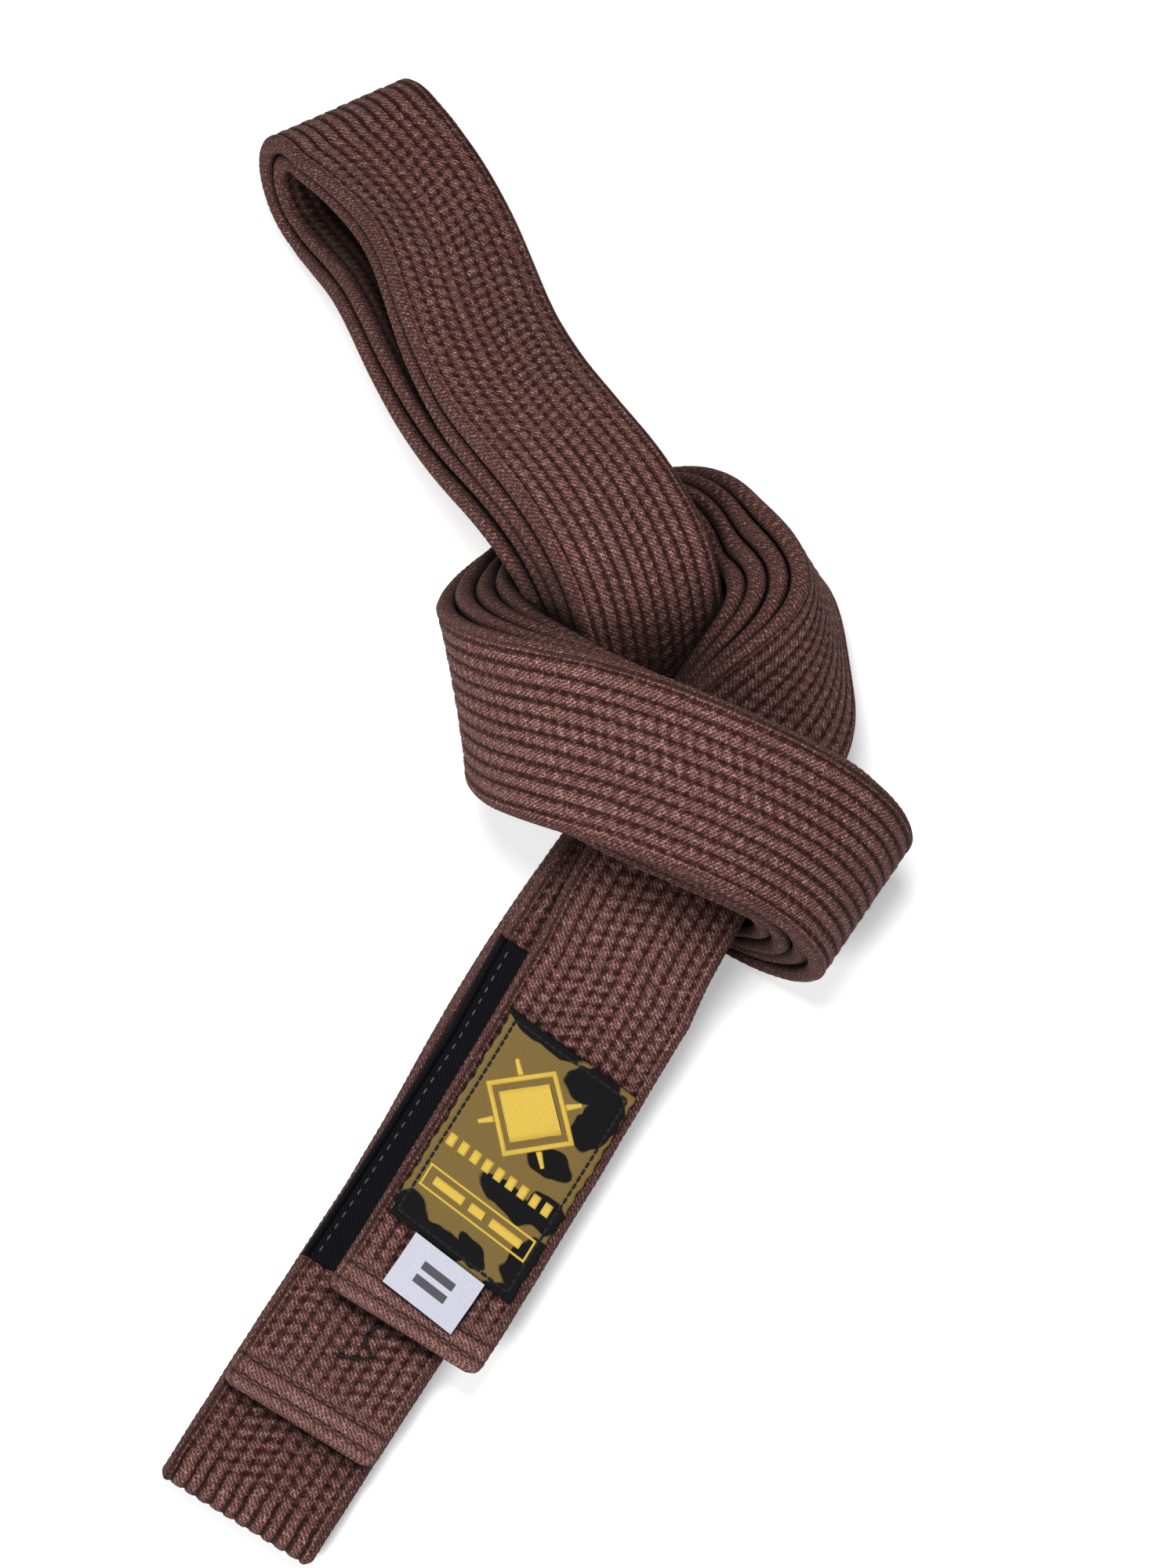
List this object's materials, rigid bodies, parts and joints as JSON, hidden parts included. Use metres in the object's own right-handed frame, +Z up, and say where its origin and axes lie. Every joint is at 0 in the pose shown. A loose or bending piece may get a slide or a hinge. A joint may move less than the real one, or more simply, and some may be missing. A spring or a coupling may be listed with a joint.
{
  "type": "martial arts belt",
  "caption": "Quilted cotton rank belt, folded and tied in an overhand knot, with hemmed ends, a black rank bar, a sewn label and nested loops.",
  "frame": {"origin": "centre of the bounding box at the table the belt lies on", "axes": "+Z up from the table, +Y from the free ends and the first fold towards the nested loops, +X to the right of the knot"},
  "size_m": [0.1629, 0.3395, 0.0728],
  "materials": {
    "cover": "quilted brown cotton, matte",
    "core": "undyed cotton batting, matte",
    "bar": "black twill, matte",
    "label": "dark satin with gold stitching, satin sheen",
    "tag": "pale woven tape, matte",
    "thread": "brown sewing thread",
    "dark_thread": "black sewing thread"
  },
  "bodies": {
    "knot": {"cover_knot_first_layer": "cover", "core_knot_first_layer": "core", "cover_knot_second_layer": "cover", "core_knot_second_layer": "core", "cover_fold_run": "cover", "core_fold_run": "core"},
    "rank_tail": {"cover_rank_end": "cover", "core_rank_end": "core", "cover_label_bend": "cover", "core_label_bend": "core", "rank_bar": "bar", "rank_bar_stitching": "dark_thread", "rank_end_stitching": "thread", "loose_thread": "dark_thread"},
    "label_tail": {"cover_label_end": "cover", "core_label_end": "core", "label": "label", "label_stitching": "dark_thread", "label_end_stitching": "thread"},
    "tag_flap": {"size_tag": "tag"},
    "loops": {"cover_outer_loop": "cover", "core_outer_loop": "core", "cover_inner_loop": "cover", "core_inner_loop": "core"}
  },
  "joints": [
    {"name": "rank_end_lift", "type": "hinge", "parent": "knot", "child": "rank_tail", "pos_m": [0.0132, -0.03771, 0.02827], "axis": [-0.8289, 0.5313, 0.1751], "range_deg": [0, 40]},
    {"name": "label_end_lift", "type": "hinge", "parent": "rank_tail", "child": "label_tail", "pos_m": [0.01171, -0.05373, 0.02556], "axis": [-0.8532, 0.4956, 0.1628], "range_deg": [0, 40]},
    {"name": "size_tag_flap", "type": "hinge", "parent": "label_tail", "child": "tag_flap", "pos_m": [-0.01962, -0.10678, 0.02052], "axis": [-0.8531, 0.5218, -0.0034], "range_deg": [0, 75]},
    {"name": "loops_lift", "type": "hinge", "parent": "knot", "child": "loops", "pos_m": [0.00071, 0.07327, 0.05345], "axis": [0.8327, 0.4037, -0.379], "range_deg": [0, 30]}
  ]
}
